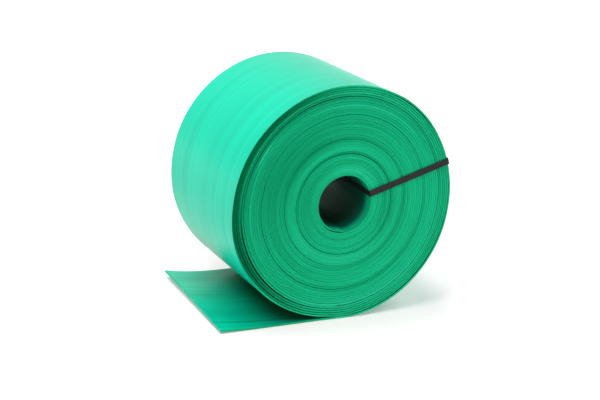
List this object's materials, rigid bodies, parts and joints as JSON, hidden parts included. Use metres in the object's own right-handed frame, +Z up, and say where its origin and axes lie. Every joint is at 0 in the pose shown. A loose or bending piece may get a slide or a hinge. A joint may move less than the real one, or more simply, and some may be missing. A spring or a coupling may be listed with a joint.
{
  "type": "soaker hose roll",
  "caption": "Flat-lying irrigation hose wound into an open-centred roll, bound by a strap, with a free tail on the floor.",
  "frame": {"origin": "on the floor beneath the roll's axis, on the flat underside of the lowest turn", "axes": "+Z up, +Y along the roll's axis away from the front face, the free tail runs towards -X"},
  "size_m": [0.3499, 0.247, 0.3481],
  "materials": {
    "hose_pvc": "satin green flexible PVC",
    "strap_plastic": "matt black embossed polypropylene strap",
    "seal_steel": "zinc-coated steel sheet, satin"
  },
  "bodies": {
    "root": {"hose": "hose_pvc", "inner_turns": "hose_pvc", "strap": "strap_plastic", "strap_seal": "seal_steel"}
  },
  "joints": []
}
